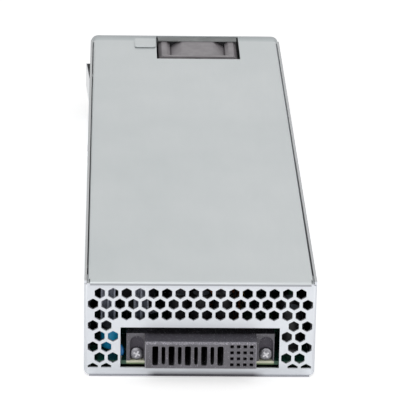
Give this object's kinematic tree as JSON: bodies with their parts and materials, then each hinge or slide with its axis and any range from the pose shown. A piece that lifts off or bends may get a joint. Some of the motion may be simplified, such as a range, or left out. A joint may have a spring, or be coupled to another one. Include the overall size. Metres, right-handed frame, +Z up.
{
  "type": "hot swap server power supply",
  "caption": "Slim sheet-steel power supply module with a blade connector in a hexagon-vented end, a fan, a mains inlet, a side latch and a bail handle.",
  "frame": {"origin": "centre of the case's flat underside", "axes": "+Y runs from the connector end to the outer end with the inlet and handle, +Z up, +X to the right when looking at the connector end"},
  "size_m": [0.0928, 0.3364, 0.0409],
  "materials": {
    "case_steel": "satin zinc-plated sheet",
    "spring_steel": "satin spring steel",
    "cover_steel": "satin zinc-plated sheet, lightly brushed",
    "end_steel": "dull zinc-plated sheet",
    "plated_strap": "bright nickel-plated steel strap",
    "screw_steel": "bright zinc-plated screws",
    "fan_plastic": "moulded brown-grey plastic",
    "rotor_plastic": "moulded black plastic",
    "bearing_bronze": "sintered bronze",
    "foam": "closed-cell grey foam",
    "black_plastic": "moulded black plastic",
    "tab_plastic": "moulded dark grey plastic",
    "connector_plastic": "glass-filled dark grey plastic",
    "pin_brass": "plated contact metal",
    "clear_plastic": "clear moulded plastic",
    "board_green": "glass epoxy with green solder resist",
    "dark_film": "black polyester film",
    "blue_sleeve": "blue shrink sleeve",
    "extruded_aluminium": "plain extruded aluminium",
    "package_epoxy": "moulded epoxy",
    "ferrite": "sintered ferrite",
    "enamelled_copper": "enamelled copper",
    "yellow_tape": "yellow polyester tape and film",
    "fuse_ceramic": "glazed ceramic with plated caps"
  },
  "bodies": {
    "case": {"chassis_tray": "case_steel", "connector_end_panel": "case_steel", "top_cover": "cover_steel", "cover_clip": "cover_steel", "outer_end_panel": "end_steel", "handle_lugs": "spring_steel", "cover_screws": "screw_steel", "fan_screws": "screw_steel", "connector_screws": "screw_steel", "board_screws": "screw_steel", "board_standoffs": "screw_steel", "fan_frame": "fan_plastic", "fan_bearing": "bearing_bronze", "fan_gasket": "foam", "inlet_housing": "black_plastic", "inrush_relay": "black_plastic", "output_capacitors": "black_plastic", "bulk_capacitors": "black_plastic", "connector_housing": "connector_plastic", "inlet_pins": "pin_brass", "power_contacts": "pin_brass", "signal_contacts": "pin_brass", "light_pipe": "clear_plastic", "main_board": "board_green", "control_board": "board_green", "status_board": "board_green", "insulation_sheet": "dark_film", "blue_capacitors": "blue_sleeve", "rectifier_heatsinks": "extruded_aluminium", "output_heatsink": "extruded_aluminium", "primary_heatsink": "extruded_aluminium", "rectifiers": "package_epoxy", "power_transistors": "package_epoxy", "bridge_rectifier": "package_epoxy", "output_choke_core": "ferrite", "transformer_core": "ferrite", "boost_choke_core": "ferrite", "line_choke_core": "ferrite", "output_choke_winding": "enamelled_copper", "boost_choke_winding": "enamelled_copper", "line_choke_winding": "enamelled_copper", "bus_bars": "enamelled_copper", "transformer_winding": "yellow_tape", "film_capacitors": "yellow_tape", "line_fuse": "fuse_ceramic"},
    "rotor": {"fan_rotor": "rotor_plastic", "fan_shaft": "screw_steel"},
    "handle": {"handle_bail": "plated_strap"},
    "latch": {"latch_spring": "spring_steel", "latch_rivets": "spring_steel", "release_tab": "tab_plastic"}
  },
  "joints": [
    {"name": "fan_spin", "type": "hinge", "parent": "case", "child": "rotor", "pos_m": [0.00595, 0.14145, 0.02005], "axis": [0, 1, 0], "continuous": true},
    {"name": "handle_swing", "type": "hinge", "parent": "case", "child": "handle", "pos_m": [0.00595, 0.16175, 0.0295], "axis": [1, 0, 0], "range_deg": [0, 95]},
    {"name": "latch_press", "type": "hinge", "parent": "case", "child": "latch", "pos_m": [-0.0453, 0.03675, 0.02225], "axis": [0, 0, -1], "range_deg": [0, 0.95], "stiffness_Nm_per_rad": 5}
  ]
}
